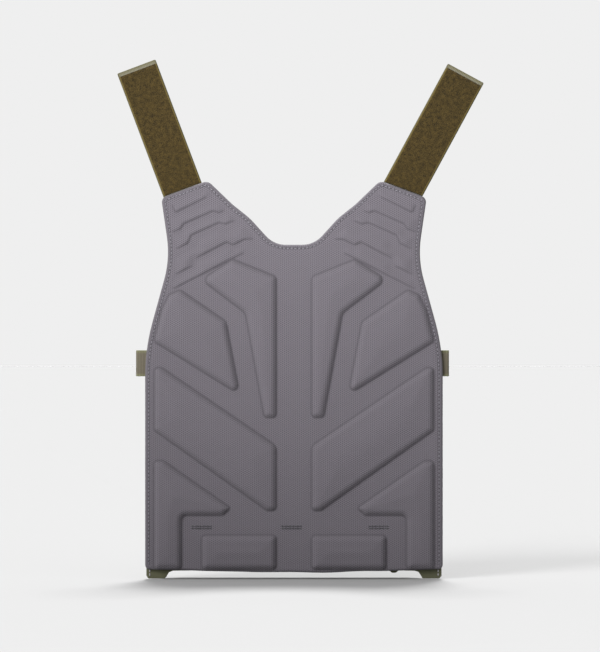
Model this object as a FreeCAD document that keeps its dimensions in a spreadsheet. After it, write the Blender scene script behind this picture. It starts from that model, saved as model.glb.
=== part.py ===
"""Back protector panel: a moulded foam comfort panel sewn to an olive carrier pocket that holds a plate.

Frame, in millimetres: +Z up, +X to the right as seen from the body side, +Y away from the wearer.
The origin is on the plane where the pads touch the wearer (Y = 0), on the centre line, level with
the lowest point. "left" and "right" are as seen from the body side, so left is -X.

Every layer is an outline in the XZ plane, padded towards the wearer (-Y) from its back face.
"""
import FreeCAD, Part
import math
import os

from FreeCAD import Placement, Rotation, Vector

DRIVING = {
    # layers, from the wearer outwards
    "mesh_thickness": 1.0,
    "pad_height": 6.0,
    "pad_taper": -22.0,
    "rib_height": 3.0,
    "board_thickness": 5.0,
    "lining_thickness": 1.0,
    "pocket_depth": 17.0,
    "shell_thickness": 1.2,
    # panel outline
    "panel_width": 290.0,
    "panel_side_bottom": 9.6,
    "panel_mid_bottom": 5.2,
    "shoulder_slope": 20.3,
    "shell_inset": 1.0,
    "ear_width": 19.0,
    # protector in the pocket
    "plate_width": 245.0,
    "plate_bottom": 12.0,
    "plate_top": 307.0,
    "plate_thickness": 9.0,
    "foam_thickness": 6.0,
    "plate_gap": 0.3,
    "foam_inset": 3.0,
    "pocket_flare": 6.0,
    "pocket_ease": 2.0,
    "mouth_level": 10.0,
    # shoulder straps
    "strap_width": 40.0,
    "strap_thickness": 1.6,
    "strap_reach": 129.0,
    "strap_root": 5.5,
    "strap_anchor_top": 2.5,
    "strap_anchor_length": 48.0,
    "loop_width": 37.0,
    "loop_thickness": 1.6,
    "loop_end_gap": 4.0,
    "left_strap_lean": -20.6,
    "right_strap_lean": 28.5,
    "left_strap_place": -108.6,
    "right_strap_place": 106.4,
    "box_stitch_side": 30.0,
    "box_stitch_drop": 44.0,
    # side tabs
    "tab_width": 25.4,
    "tab_level": 210.0,
    "tab_root": 2.8,
    "tab_fold": 4.6,
    "tab_gap": 2.2,
    "left_tab_reach": 9.3,
    "right_tab_reach": 6.5,
    "tab_anchor_length": 11.0,
    # closing flap
    "flap_width": 228.0,
    "flap_bottom": 8.2,
    "flap_height": 48.0,
    "flap_thickness": 1.2,
    "flap_clearance": 0.3,
    "tape_height": 25.0,
    "tape_width": 200.0,
    "tape_level": 27.0,
    "tape_thickness": 1.1,
    "pull_tab_width": 8.0,
    "pull_tab_place": 98.0,
    "pull_tab_bottom": 4.4,
    # webbing ladder on the outside
    "row_height": 25.4,
    "row_pitch": 50.8,
    "row_thickness": 1.4,
    "first_row": 86.0,
    "channel_pitch": 38.1,
    "tack_width": 2.5,
    "tack_height": 22.0,
    "tack_thickness": 0.6,
    "field_width": 120.0,
    "field_height": 38.0,
    "field_level": 282.0,
    # stitching
    "seam_inset": 3.6,
    "seam_end": 11.5,
    "thread_width": 0.8,
    "thread_height": 0.4,
    "bartack_length": 18.5,
    "bartack_height": 2.6,
    "bartack_level": 49.2,
    "bartack_spread": 87.0,
}

ROW_CHANNELS = (6, 6, 6, 5)
SIDES = {"left": -1, "right": 1}

doc = FreeCAD.newDocument("back_protector")
sheet = doc.addObject("Spreadsheet::Sheet", "Sizes")
for row, (alias, number) in enumerate(DRIVING.items(), start=1):
    sheet.set(f"A{row}", alias)
    sheet.set(f"B{row}", str(number))
    sheet.setAlias(f"B{row}", alias)
doc.recompute()

subparts = {}


def size(alias):
    """The number in the spreadsheet cell with this alias."""
    return float(sheet.get(alias))


def cells(expression):
    """An expression over sheet cells, from words such as 'mesh_thickness + pad_height'."""
    words = expression.split()
    return " ".join(f"Sizes.{word}" if word in DRIVING else word for word in words)


# ---------------------------------------------------------------- levels along Y, as expressions

BOARD_FRONT = "mesh_thickness + pad_height"
BOARD_BACK = BOARD_FRONT + " + board_thickness"
LINING_BACK = BOARD_BACK + " + lining_thickness"
FLANGE_BACK = LINING_BACK + " + shell_thickness"
POCKET_BACK = LINING_BACK + " + pocket_depth"
SHELL_BACK = POCKET_BACK + " + shell_thickness"
TAPE_BACK = SHELL_BACK + " + tape_thickness"
HOOK_BACK = TAPE_BACK + " + flap_clearance + tape_thickness"
FLAP_BACK = HOOK_BACK + " + flap_thickness"


def level(expression):
    """The value of a level expression, in millimetres."""
    terms = expression.split(" + ")
    return sum(size(term) for term in terms)


# ---------------------------------------------------------------- outlines
# A corner is (x, z, radius). Straight runs join the corners through tangent arcs.


def grown(corners, distance):
    """The same outline with every run moved outwards by distance."""
    count = len(corners)
    turn = sum(
        corners[i][0] * corners[(i + 1) % count][1] - corners[(i + 1) % count][0] * corners[i][1]
        for i in range(count)
    )
    spin = 1 if turn > 0 else -1
    result = []
    for i, (x, z, radius) in enumerate(corners):
        before = Vector(x - corners[i - 1][0], z - corners[i - 1][1], 0).normalize()
        after = Vector(corners[(i + 1) % count][0] - x, corners[(i + 1) % count][1] - z, 0).normalize()
        out_before = Vector(before.y, -before.x, 0) * spin
        out_after = Vector(after.y, -after.x, 0) * spin
        middle = out_before + out_after
        shift = middle * (distance / (1 + out_before.dot(out_after)))
        convex = before.cross(after).z * spin > 0
        new_radius = radius + (distance if convex else -distance)
        result.append((x + shift.x, z + shift.y, max(new_radius, 0.2)))
    return result


def mirrored(corners):
    """The outline on the other side of the centre line."""
    return [(-x, z, radius) for x, z, radius in reversed(corners)]


def placed(corners, side):
    """A left-hand outline, put on the side that is asked for."""
    return corners if side == "left" else mirrored(corners)


def profile(corners):
    """Part curves, in a sketch's own plane, through rounded corners."""
    count = len(corners)
    starts, ends, middles = [], [], []
    for i, (x, z, radius) in enumerate(corners):
        here = Vector(x, z, 0)
        back = (Vector(*corners[i - 1][:2], 0) - here).normalize()
        ahead = (Vector(*corners[(i + 1) % count][:2], 0) - here).normalize()
        half = back.getAngle(ahead) / 2
        run = radius / math.tan(half)
        centre = here + (back + ahead).normalize() * (radius / math.sin(half))
        starts.append(here + back * run)
        ends.append(here + ahead * run)
        middles.append(centre + (here - centre).normalize() * radius)
    curves = []
    for i in range(count):
        curves.append(Part.Arc(starts[i], middles[i], ends[i]))
        following = starts[(i + 1) % count]
        if (following - ends[i]).Length > 1e-6:
            curves.append(Part.LineSegment(ends[i], following))
    return curves


def rectangle(low_x, high_x, low_z, high_z, radius):
    """A rounded rectangle as corners."""
    return [
        (low_x, low_z, radius),
        (high_x, low_z, radius),
        (high_x, high_z, radius),
        (low_x, high_z, radius),
    ]


HALF = size("panel_width") / 2
SLOPE = math.radians(size("shoulder_slope"))
SHOULDER_OUTER = (-129.4, 371.3)
SHOULDER_INNER = (-84.0, SHOULDER_OUTER[1] + (129.4 - 84.0) * math.tan(SLOPE))


def panel_outline():
    """The comfort panel: straight sides, armholes, sloping shoulders and a scooped neck."""
    left = [
        (-19.5, 325.6, 26.0),
        (-43.0, 351.5, 60.0),
        (-60.0, 365.0, 60.0),
        (*SHOULDER_INNER, 8.0),
        (*SHOULDER_OUTER, 6.5),
        (-120.8, 312.2, 100.0),
        (-HALF, 224.7, 200.0),
        (-HALF, size("panel_side_bottom"), 4.0),
    ]
    right = mirrored(left)
    return left + [(0.0, size("panel_mid_bottom"), 2000.0)] + right


def carrier_outline():
    """The lining and the shell's flange: just inside the panel, with an ear below each bottom corner."""
    inset = size("shell_inset")
    edge = HALF - inset
    ear_inner = edge - size("ear_width")
    upper = grown(panel_outline()[:7], -inset)
    left = [
        (-19.5, 324.6, 27.0),
        *upper[1:6],
        (-edge, 224.9, 199.0),
        (-edge, 0.0, 2.5),
        (-ear_inner, 0.0, 1.0),
        (-ear_inner + 3.0, 7.6, 6.0),
    ]
    right = mirrored(left)
    return left + [(0.0, 9.0, 800.0)] + right


def plate_outline():
    """The protector plate: square at the bottom, with both top corners cut for the arms."""
    half = size("plate_width") / 2
    left = [
        (-66.0, size("plate_top"), 14.0),
        (-102.0, 262.0, 40.0),
        (-half, 206.0, 40.0),
        (-half, size("plate_bottom"), 12.0),
    ]
    return left + mirrored(left)


# Left-hand pads. They stand in pairs either side of a clear channel along the spine.
PADS = {
    "pad_upper_inner": [
        (-90.4, 291.5, 6.0),
        (-59.4, 311.4, 5.0),
        (-17.1, 294.5, 5.0),
        (-17.1, 157.1, 4.5),
        (-29.0, 157.1, 4.5),
        (-47.4, 259.0, 10.0),
    ],
    "pad_upper_outer": [
        (-110.9, 281.8, 6.0),
        (-66.0, 250.8, 7.0),
        (-52.6, 179.2, 4.5),
        (-136.3, 231.3, 4.0),
        (-128.9, 262.4, 25.0),
        (-121.9, 276.9, 5.0),
    ],
    "pad_middle": [
        (-136.2, 205.9, 4.0),
        (-128.7, 205.9, 6.0),
        (-17.1, 129.7, 9.0),
        (-17.1, 66.5, 4.5),
        (-26.1, 66.5, 6.0),
        (-136.2, 144.9, 4.0),
    ],
    "pad_lower": [
        (-136.5, 115.3, 4.0),
        (-126.9, 115.3, 6.0),
        (-61.3, 69.2, 2.5),
        (-69.2, 62.1, 3.0),
        (-109.3, 62.1, 5.0),
        (-109.3, 9.6, 4.0),
        (-136.5, 9.6, 4.0),
    ],
    "pad_bottom": rectangle(-90.0, -17.1, 9.2, 43.0, 4.5),
}

# Left-hand shoulder ribs, from the shoulder down. Each is a jogged band across the strap's pull.
RIBS = {
    "shoulder_rib_1": [
        (-119.5, 367.0, 2.0),
        (-115.5, 356.6, 2.0),
        (-84.0, 372.4, 2.0),
        (-78.5, 370.5, 2.0),
        (-84.0, 379.6, 3.0),
    ],
    "shoulder_rib_2": [
        (-120.6, 351.5, 2.0),
        (-109.0, 356.0, 2.0),
        (-80.5, 366.0, 2.0),
        (-72.0, 366.5, 2.0),
        (-66.0, 359.6, 2.0),
        (-73.1, 356.6, 2.0),
        (-78.4, 358.5, 2.0),
        (-107.4, 345.7, 1.5),
        (-110.0, 341.2, 1.5),
        (-118.8, 337.6, 2.0),
    ],
    "shoulder_rib_3": [
        (-117.5, 333.6, 2.0),
        (-108.2, 337.4, 1.5),
        (-105.6, 341.9, 1.5),
        (-78.0, 354.2, 2.0),
        (-73.0, 352.5, 2.0),
        (-64.0, 356.0, 2.0),
        (-55.0, 350.2, 2.0),
        (-66.6, 345.6, 2.0),
        (-72.8, 347.0, 2.0),
        (-100.0, 334.7, 1.5),
        (-103.4, 326.6, 1.5),
        (-114.6, 321.4, 2.0),
    ],
    "shoulder_rib_4": [
        (-115.2, 313.6, 2.0),
        (-95.2, 323.7, 1.5),
        (-92.6, 330.7, 1.5),
        (-75.4, 339.4, 2.0),
        (-65.8, 338.6, 2.0),
        (-50.0, 344.5, 2.0),
        (-36.5, 331.5, 2.0),
        (-48.3, 330.6, 2.0),
        (-59.2, 325.1, 2.0),
        (-65.3, 327.9, 2.0),
        (-95.9, 312.1, 1.5),
        (-97.9, 305.3, 1.5),
        (-116.6, 296.0, 2.0),
    ],
    "shoulder_rib_5": [
        (-117.4, 291.3, 2.0),
        (-95.9, 302.1, 1.5),
        (-93.4, 309.0, 1.5),
        (-65.0, 323.9, 2.0),
        (-59.0, 321.2, 2.0),
        (-52.0, 323.8, 2.0),
        (-46.6, 318.8, 2.0),
        (-89.0, 296.9, 2.0),
        (-119.5, 281.6, 2.0),
    ],
}


# ---------------------------------------------------------------- ways to make a piece


def keep(obj, label):
    """Registers a finished sub-part under its label."""
    obj.Label = label
    subparts[label] = obj
    return obj


def sketch_on(body, plane_role, curves):
    """A sketch of these curves on one of the body's own planes."""
    sketch = body.newObject("Sketcher::SketchObject", body.Name + "_outline")
    plane = next(o for o in body.Origin.OriginFeatures if o.Role == plane_role)
    sketch.AttachmentSupport = [(plane, "")]
    sketch.MapMode = "FlatFace"
    sketch.addGeometry(curves, False)
    sketch.Visibility = False
    return sketch


def layer(label, curves, back, thickness, taper=None, placement=None):
    """A body whose outline is padded towards the wearer from its back face."""
    body = doc.addObject("PartDesign::Body", label)
    pad = body.newObject("PartDesign::Pad", label + "_pad")
    pad.Profile = sketch_on(body, "XZ_Plane", curves)
    pad.setExpression("Length", cells(thickness))
    if taper:
        pad.setExpression("TaperAngle", cells(taper))
    if placement:
        body.Placement = placement
    body.setExpression("Placement.Base.y", cells(back))
    return keep(body, label)


def block(width, height, thickness, low_x, back, low_z):
    """A box with its sides bound to cells, placed by its low X, back Y and low Z."""
    box = doc.addObject("Part::Box", "Box")
    box.setExpression("Length", cells(width))
    box.setExpression("Width", cells(thickness))
    box.setExpression("Height", cells(height))
    box.setExpression("Placement.Base.x", cells(low_x))
    box.setExpression("Placement.Base.y", cells(f"{back} - ( {thickness} )"))
    box.setExpression("Placement.Base.z", cells(low_z))
    return box


def group(label, members):
    """Separate solids that share one node, such as a row of bartacks."""
    compound = doc.addObject("Part::Compound", label)
    compound.Links = members
    return keep(compound, label)


def wire_at(corners, y):
    """An outline as a closed wire in the plane at this Y."""
    wire = Part.Wire([curve.toShape() for curve in profile(corners)])
    wire.rotate(Vector(0, 0, 0), Vector(1, 0, 0), 90)
    wire.translate(Vector(0, y, 0))
    return wire


def drafted(back_corners, back, front_corners, front):
    """A solid between two outlines with the same corners, at two levels."""
    wires = [wire_at(back_corners, back), wire_at(front_corners, front)]
    return Part.makeLoft(wires, True, True)


def feature(label, shape):
    """A Part feature with a shape made by Part's own functions."""
    obj = doc.addObject("Part::Feature", label)
    obj.Shape = shape
    return keep(obj, label)


# ---------------------------------------------------------------- the comfort panel


def comfort_panel():
    """Foam board, pads and ribs, which one mesh skin holds together."""
    board = grown(panel_outline(), -size("mesh_thickness"))
    layer("foam_board", profile(board), BOARD_BACK, "board_thickness")
    for side in SIDES:
        for name, corners in PADS.items():
            curves = profile(placed(corners, side))
            layer(f"{name}_{side}", curves, BOARD_FRONT, "pad_height", "pad_taper")
        for name, corners in RIBS.items():
            curves = profile(placed(corners, side))
            layer(f"{name}_{side}", curves, BOARD_FRONT, "rib_height")


def blister(corners, draft, height):
    """The skin's bulge over one pad or rib: its own outline, grown by the skin's thickness."""
    skin, front = size("mesh_thickness"), level(BOARD_FRONT)
    foot = grown(corners, skin / math.cos(draft))
    top = grown(foot, -math.tan(draft) * (height + skin))
    return drafted(foot, front, top, front - height - skin)


def face_mesh():
    """The knitted skin: one sheet over board, pads and ribs, wrapped round the board's edge."""
    front = level(BOARD_FRONT) - size("mesh_thickness")
    draft = math.radians(-size("pad_taper"))
    blisters = []
    for side in SIDES:
        blisters += [blister(placed(c, side), draft, size("pad_height")) for c in PADS.values()]
        blisters += [blister(placed(c, side), 0.0, size("rib_height")) for c in RIBS.values()]
    skin = drafted(panel_outline(), level(BOARD_BACK), panel_outline(), front).fuse(blisters)
    foam = ("foam_board", "pad_", "shoulder_rib_")
    under = [obj.Shape for label, obj in subparts.items() if label.startswith(foam)]
    feature("face_mesh", skin.cut(under))


def seam_outline():
    """A thread-wide run: up one side, over both shoulders and the neck, and down the other side."""
    outer = grown(panel_outline(), -size("seam_inset"))
    inner = grown(outer, -size("thread_width"))
    runs = []
    for ring in (outer, inner):
        run = ring[9:] + ring[:8]
        end = size("seam_end")
        runs.append([(run[0][0], end, 0.2), *run[1:-1], (run[-1][0], end, 0.2)])
    return runs[0] + runs[1][::-1]


def stitching():
    """The seam round the panel, and the three bartacks that hold the lining to it."""
    face = "pad_height"
    layer("edge_stitching", profile(seam_outline()), face, "thread_height")
    tacks = [
        block(
            "bartack_length",
            "bartack_height",
            "thread_height",
            f"{step} * bartack_spread - bartack_length / 2",
            face,
            "bartack_level",
        )
        for step in (-1, 0, 1)
    ]
    group("panel_bartacks", tacks)


# ---------------------------------------------------------------- the carrier pocket and its plate


def pocket_outline(ease):
    """The plate's outline with this ease round it, but cut level at the pocket's mouth."""
    floor = size("mouth_level")
    return [(x, max(z, floor), radius) for x, z, radius in grown(plate_outline(), ease)]


def pocket_lining():
    """The flat wall of the pocket, behind the foam board."""
    layer("pocket_lining", profile(carrier_outline()), LINING_BACK, "lining_thickness")


def outer_shell():
    """The outer fabric: a sewn flange and a tray for the plate, open along its bottom edge."""
    front, back = level(LINING_BACK), level(SHELL_BACK)
    wall = size("shell_thickness")
    flange = drafted(carrier_outline(), front + wall, carrier_outline(), front)
    foot = pocket_outline(size("pocket_flare"))
    rear = pocket_outline(size("pocket_ease"))
    tray = drafted(rear, back, foot, front)
    hollow = drafted(grown(rear, -wall), back - wall, grown(foot, -wall), front)
    mouth_width = size("plate_width") + size("pocket_ease")
    mouth = Part.makeBox(mouth_width, back - wall - front, size("plate_bottom") + wall)
    mouth.translate(Vector(-mouth_width / 2, front, 0))
    feature("outer_shell", flange.fuse(tray).cut([hollow, mouth]).removeSplitter())


def protector():
    """The plate that protects, and the soft foam between it and the wearer."""
    foam_back = LINING_BACK + " + plate_gap + foam_thickness"
    plate_back = foam_back + " + plate_gap + plate_thickness"
    foam = grown(plate_outline(), -size("foam_inset"))
    layer("plate_foam", profile(foam), foam_back, "foam_thickness")
    layer("protector_plate", profile(plate_outline()), plate_back, "plate_thickness")


# ---------------------------------------------------------------- shoulder straps


def strap_piece(half_width, low, high, skew):
    """A strap's outline along its own axis, with its lower end cut along the shoulder's slope."""
    drop = half_width * skew
    return [
        (-half_width, low - drop, 0.5),
        (half_width, low + drop, 0.5),
        (half_width, high, 0.5),
        (-half_width, high, 0.5),
    ]


def anchor_piece(half_width, low, high, skew):
    """A strap anchor's outline: square at the bottom, its upper end along the shoulder's slope."""
    rise = half_width * skew
    return [
        (-half_width, low, 0.5),
        (half_width, low, 0.5),
        (half_width, high + rise, 0.5),
        (-half_width, high - rise, 0.5),
    ]


def shoulder_straps():
    """Webbing with a loop-tape face, folding at the shoulder's edge from an anchor on the shell."""
    half, loop_half = size("strap_width") / 2, size("loop_width") / 2
    root, reach = size("strap_root"), size("strap_reach")
    webbing_back = FLANGE_BACK + " + strap_thickness"
    boxes = []
    for side, sign in SIDES.items():
        lean, place = size(f"{side}_strap_lean"), size(f"{side}_strap_place")
        edge = SHOULDER_OUTER[1] + (abs(SHOULDER_OUTER[0]) - abs(place)) * math.tan(SLOPE)
        frame = Placement(Vector(place, 0, edge), Rotation(Vector(0, 1, 0), lean))
        skew = math.tan(math.radians(lean) - sign * SLOPE)
        webbing = profile(strap_piece(half, root, reach, skew))
        tape = profile(strap_piece(loop_half, root + 1.0, reach - size("loop_end_gap"), skew))
        anchor = anchor_piece(half, -size("strap_anchor_length"), size("strap_anchor_top"), skew)
        layer(f"strap_webbing_{side}", webbing, webbing_back, "strap_thickness", placement=frame)
        layer(f"strap_loop_tape_{side}", tape, FLANGE_BACK, "loop_thickness", placement=frame)
        layer(f"strap_anchor_{side}", profile(anchor), webbing_back, "strap_thickness", placement=frame)
        boxes.append(box_stitch(frame))
    feature("strap_box_stitching", Part.makeCompound(boxes))


def box_stitch(frame):
    """A stitched square with its diagonals, on the outside of a strap's anchor."""
    thread, height = size("thread_width"), size("thread_height")
    side, low = size("box_stitch_side"), -size("box_stitch_drop")
    outer = Part.makeBox(side, height, side, Vector(-side / 2, 0, low))
    hole = side - 2 * thread
    shape = outer.cut(Part.makeBox(hole, height, hole, Vector(-hole / 2, 0, low + thread)))
    middle = Vector(0, 0, low + side / 2)
    length = (side - thread) * math.sqrt(2)
    for turn in (45, -45):
        bar = Part.makeBox(length, height, thread, middle - Vector(length / 2, 0, thread / 2))
        bar.rotate(middle, Vector(0, 1, 0), turn)
        shape = shape.fuse(bar)
    shape.Placement = frame
    shape.translate(Vector(0, level(FLANGE_BACK) + size("strap_thickness"), 0))
    return shape


# ---------------------------------------------------------------- side tabs


def tab_profile(reach):
    """A folded tab seen from above: two plies that part a little towards the rounded fold."""
    start, root, fold = size("tab_gap"), size("tab_root") / 2, size("tab_fold") / 2
    turn = reach - fold
    upper, tip, lower = Vector(turn, fold, 0), Vector(reach, 0, 0), Vector(turn, -fold, 0)
    near, far = Vector(start, -root, 0), Vector(start, root, 0)
    return [
        Part.LineSegment(near, lower),
        Part.Arc(lower, tip, upper),
        Part.LineSegment(upper, far),
        Part.LineSegment(far, near),
    ]


def side_tabs():
    """Folded webbing tabs that flex at the panel's edge, each from an anchor behind the flange."""
    for side, sign in SIDES.items():
        body = doc.addObject("PartDesign::Body", f"side_tab_{side}")
        pad = body.newObject("PartDesign::Pad", f"side_tab_{side}_pad")
        pad.Profile = sketch_on(body, "XY_Plane", tab_profile(size(f"{side}_tab_reach")))
        pad.setExpression("Length", cells("tab_width"))
        body.Placement.Rotation = Rotation(Vector(0, 0, 1), 90 - 90 * sign)
        body.setExpression("Placement.Base.x", cells(f"{sign} * panel_width / 2"))
        body.setExpression("Placement.Base.y", cells(FLANGE_BACK + " + tab_root / 2"))
        body.setExpression("Placement.Base.z", cells("tab_level - tab_width / 2"))
        keep(body, f"side_tab_{side}")
        anchor = block(
            "tab_anchor_length",
            "tab_width",
            "tab_root",
            f"{sign} * ( panel_width - tab_anchor_length ) / 2 - tab_anchor_length / 2",
            FLANGE_BACK + " + tab_root",
            "tab_level - tab_width / 2",
        )
        keep(anchor, f"side_tab_anchor_{side}")


# ---------------------------------------------------------------- closing flap


def closing_flap():
    """The flap under the plate: hinged behind the panel, held up by hook tape on the outside."""
    depth = f"{FLAP_BACK} - ( {FLANGE_BACK} + flap_clearance )"
    low_x = "- flap_width / 2"
    floor = block("flap_width", "flap_thickness", depth, low_x, FLAP_BACK, "flap_bottom")
    upright = block("flap_width", "flap_height", "flap_thickness", low_x, FLAP_BACK, "flap_bottom")
    flap = doc.addObject("Part::MultiFuse", "bottom_flap")
    flap.Shapes = [floor, upright]
    flap.Refine = True
    keep(flap, "bottom_flap")
    for label, back in (("flap_hook_tape", HOOK_BACK), ("shell_loop_tape", TAPE_BACK)):
        tape_x = "- tape_width / 2"
        keep(block("tape_width", "tape_height", "tape_thickness", tape_x, back, "tape_level"), label)
    half, middle = size("pull_tab_width") / 2, size("pull_tab_place")
    low, high = size("pull_tab_bottom"), size("flap_bottom")
    tab = [
        (middle - half, low, 3.0),
        (middle + half, low, 3.0),
        (middle + half, high, 0.1),
        (middle - half, high, 0.1),
    ]
    layer("flap_pull_tab", profile(tab), POCKET_BACK, "strap_thickness")


# ---------------------------------------------------------------- the outside


def webbing_ladder():
    """Rows of webbing, each tacked down at even channels."""
    row_back = SHELL_BACK + " + row_thickness"
    tacks = []
    for index, channels in enumerate(ROW_CHANNELS):
        middle = size("first_row") + index * size("row_pitch")
        half = channels * size("channel_pitch") / 2 + size("tack_width")
        row = rectangle(-half, half, middle - size("row_height") / 2, middle + size("row_height") / 2, 0.6)
        layer(f"webbing_row_{index + 1}", profile(row), row_back, "row_thickness")
        for step in range(channels + 1):
            tack = block(
                "tack_width",
                "tack_height",
                "tack_thickness",
                f"{step - channels / 2} * channel_pitch - tack_width / 2",
                row_back + " + tack_thickness",
                f"first_row + {index} * row_pitch - tack_height / 2",
            )
            tacks.append(tack)
    group("webbing_bartacks", tacks)


def patch_field():
    """The loop field for a patch, above the webbing."""
    half = size("field_width") / 2
    low = size("field_level") - size("field_height") / 2
    field = rectangle(-half, half, low, low + size("field_height"), 3.0)
    layer("patch_loop_field", profile(field), TAPE_BACK, "tape_thickness")


def write_parts():
    """Checks every object and sub-part, then writes one STEP file for each."""
    doc.recompute()
    for obj in doc.Objects:
        if "Invalid" in obj.State or "Error" in obj.State:
            raise RuntimeError(f"{obj.Label} failed: {obj.State}")
    os.makedirs("parts", exist_ok=True)
    for label, obj in subparts.items():
        shape = obj.Shape
        if shape.isNull() or not shape.isValid() or not shape.Solids:
            raise RuntimeError(f"{label} has no valid solid")
        shape.exportStep(os.path.join("parts", label + ".step"))
        box = shape.BoundBox
        print(
            f"{label:26s} {len(shape.Solids):3d} solids {shape.Volume / 1000:8.2f} cm3"
            f"  x {box.XMin:7.1f} {box.XMax:7.1f}"
            f"  y {box.YMin:5.1f} {box.YMax:5.1f}"
            f"  z {box.ZMin:6.1f} {box.ZMax:6.1f}"
        )


comfort_panel()
doc.recompute()
face_mesh()
stitching()
pocket_lining()
outer_shell()
protector()
shoulder_straps()
side_tabs()
closing_flap()
webbing_ladder()
patch_field()
write_parts()
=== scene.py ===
"""Back protector panel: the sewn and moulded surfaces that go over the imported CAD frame.

Soft pieces are cut flat, as cloth is: slab() triangulates a flat outline, gives it thickness and a
rounded edge, and a place function lays it on the object. Lengths are in metres in the row frame:
+Z up, +Y away from the wearer, and the pads touch the wearer at y = 0.
"""

import math

import bmesh
import bpy
import numpy as np
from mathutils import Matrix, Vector, geometry


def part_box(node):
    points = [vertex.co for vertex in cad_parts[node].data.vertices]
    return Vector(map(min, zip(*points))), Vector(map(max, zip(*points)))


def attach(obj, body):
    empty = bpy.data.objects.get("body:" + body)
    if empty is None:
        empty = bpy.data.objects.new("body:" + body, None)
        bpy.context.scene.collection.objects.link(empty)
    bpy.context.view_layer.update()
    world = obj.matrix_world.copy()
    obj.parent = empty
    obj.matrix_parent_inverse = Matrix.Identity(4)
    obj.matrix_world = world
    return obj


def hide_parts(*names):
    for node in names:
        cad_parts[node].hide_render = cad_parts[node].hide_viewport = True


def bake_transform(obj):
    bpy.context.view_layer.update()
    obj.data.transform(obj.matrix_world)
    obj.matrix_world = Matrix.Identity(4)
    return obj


MM = 0.001
TAU = 2 * math.pi
SIDES = {"left": -1, "right": 1}
PAD_NAMES = ("pad_upper_inner", "pad_upper_outer", "pad_middle", "pad_lower", "pad_bottom")
RIB_NAMES = tuple(f"shoulder_rib_{i}" for i in range(1, 6))

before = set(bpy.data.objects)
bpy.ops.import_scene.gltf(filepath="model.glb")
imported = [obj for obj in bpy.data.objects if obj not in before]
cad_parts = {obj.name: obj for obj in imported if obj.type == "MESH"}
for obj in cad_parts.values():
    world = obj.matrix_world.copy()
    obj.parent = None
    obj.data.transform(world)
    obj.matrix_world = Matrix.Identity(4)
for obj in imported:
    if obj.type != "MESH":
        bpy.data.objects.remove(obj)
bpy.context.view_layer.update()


def low(node):
    """The lowest corner of a CAD node."""
    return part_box(node)[0]


def high(node):
    """The highest corner of a CAD node."""
    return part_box(node)[1]


# ---------------------------------------------------------------- outlines in the XZ plane


def face_outline(node, depth):
    """The outer loop of a CAD node's flat face at this Y, as (x, z) points in order."""
    mesh = bmesh.new()
    mesh.from_mesh(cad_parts[node].data)
    bmesh.ops.remove_doubles(mesh, verts=mesh.verts, dist=1e-6)
    flat = {f for f in mesh.faces if all(abs(v.co.y - depth) < 2e-5 for v in f.verts)}
    edges = [e for e in mesh.edges if len([f for f in e.link_faces if f in flat]) == 1]
    links = {}
    for edge in edges:
        for here, there in (edge.verts, reversed(edge.verts)):
            links.setdefault(here, []).append(there)
    loops = []
    while links:
        start = next(iter(links))
        loop, here = [], start
        while here in links:
            loop.append((here.co.x, here.co.z))
            following = [v for v in links.pop(here) if v in links]
            if not following:
                break
            here = following[0]
        loops.append(np.array(loop))
    mesh.free()
    return counter_clockwise(max(loops, key=lambda loop: abs(area_of(loop))))


def area_of(loop):
    """The signed area of a closed loop."""
    x, z = loop[:, 0], loop[:, 1]
    return float(np.sum(x * np.roll(z, -1) - np.roll(x, -1) * z) / 2)


def counter_clockwise(loop):
    """The loop, turning to the left."""
    return loop if area_of(loop) > 0 else loop[::-1]


def resampled(loop, spacing):
    """The closed loop at even steps of about this length."""
    closed = np.vstack([loop, loop[:1]])
    run = np.concatenate([[0], np.cumsum(np.linalg.norm(np.diff(closed, axis=0), axis=1))])
    steps = np.linspace(0, run[-1], max(8, round(run[-1] / spacing)), endpoint=False)
    return np.column_stack([np.interp(steps, run, closed[:, k]) for k in (0, 1)])


def outward(loop):
    """A unit normal at each point of a counter-clockwise loop."""
    along = np.roll(loop, -1, axis=0) - np.roll(loop, 1, axis=0)
    along /= np.linalg.norm(along, axis=1)[:, None]
    return np.column_stack([along[:, 1], -along[:, 0]])


def rectangle(width, height, centre=(0.0, 0.0), radius=0.6 * MM):
    """A rounded rectangle as a loop."""
    points = []
    for quarter, (sx, sz) in enumerate(((1, -1), (1, 1), (-1, 1), (-1, -1))):
        middle = (centre[0] + sx * (width / 2 - radius), centre[1] + sz * (height / 2 - radius))
        for step in range(5):
            angle = (quarter - 1 + step / 4) * TAU / 4
            points.append((middle[0] + radius * math.cos(angle), middle[1] + radius * math.sin(angle)))
    return np.array(points)


def nearest(points, loop, chosen=None):
    """Each point's distance to a loop, positive inside it, and the closest point on the loop."""
    begin, end = loop, np.roll(loop, -1, axis=0)
    if chosen is not None:
        begin, end = begin[chosen], end[chosen]
    span = end - begin
    length2 = np.maximum((span**2).sum(1), 1e-18)
    distance, closest = np.empty(len(points)), np.empty((len(points), 2))
    for first in range(0, len(points), 4000):
        part = points[first : first + 4000, None, :]
        t = np.clip(((part - begin) * span).sum(2) / length2, 0, 1)
        foot = begin + t[..., None] * span
        gap = np.linalg.norm(part - foot, axis=2)
        pick = gap.argmin(1)
        rows = np.arange(len(pick))
        distance[first : first + 4000] = gap[rows, pick]
        closest[first : first + 4000] = foot[rows, pick]
    return distance * np.where(inside(points, loop), 1, -1), closest


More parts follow.
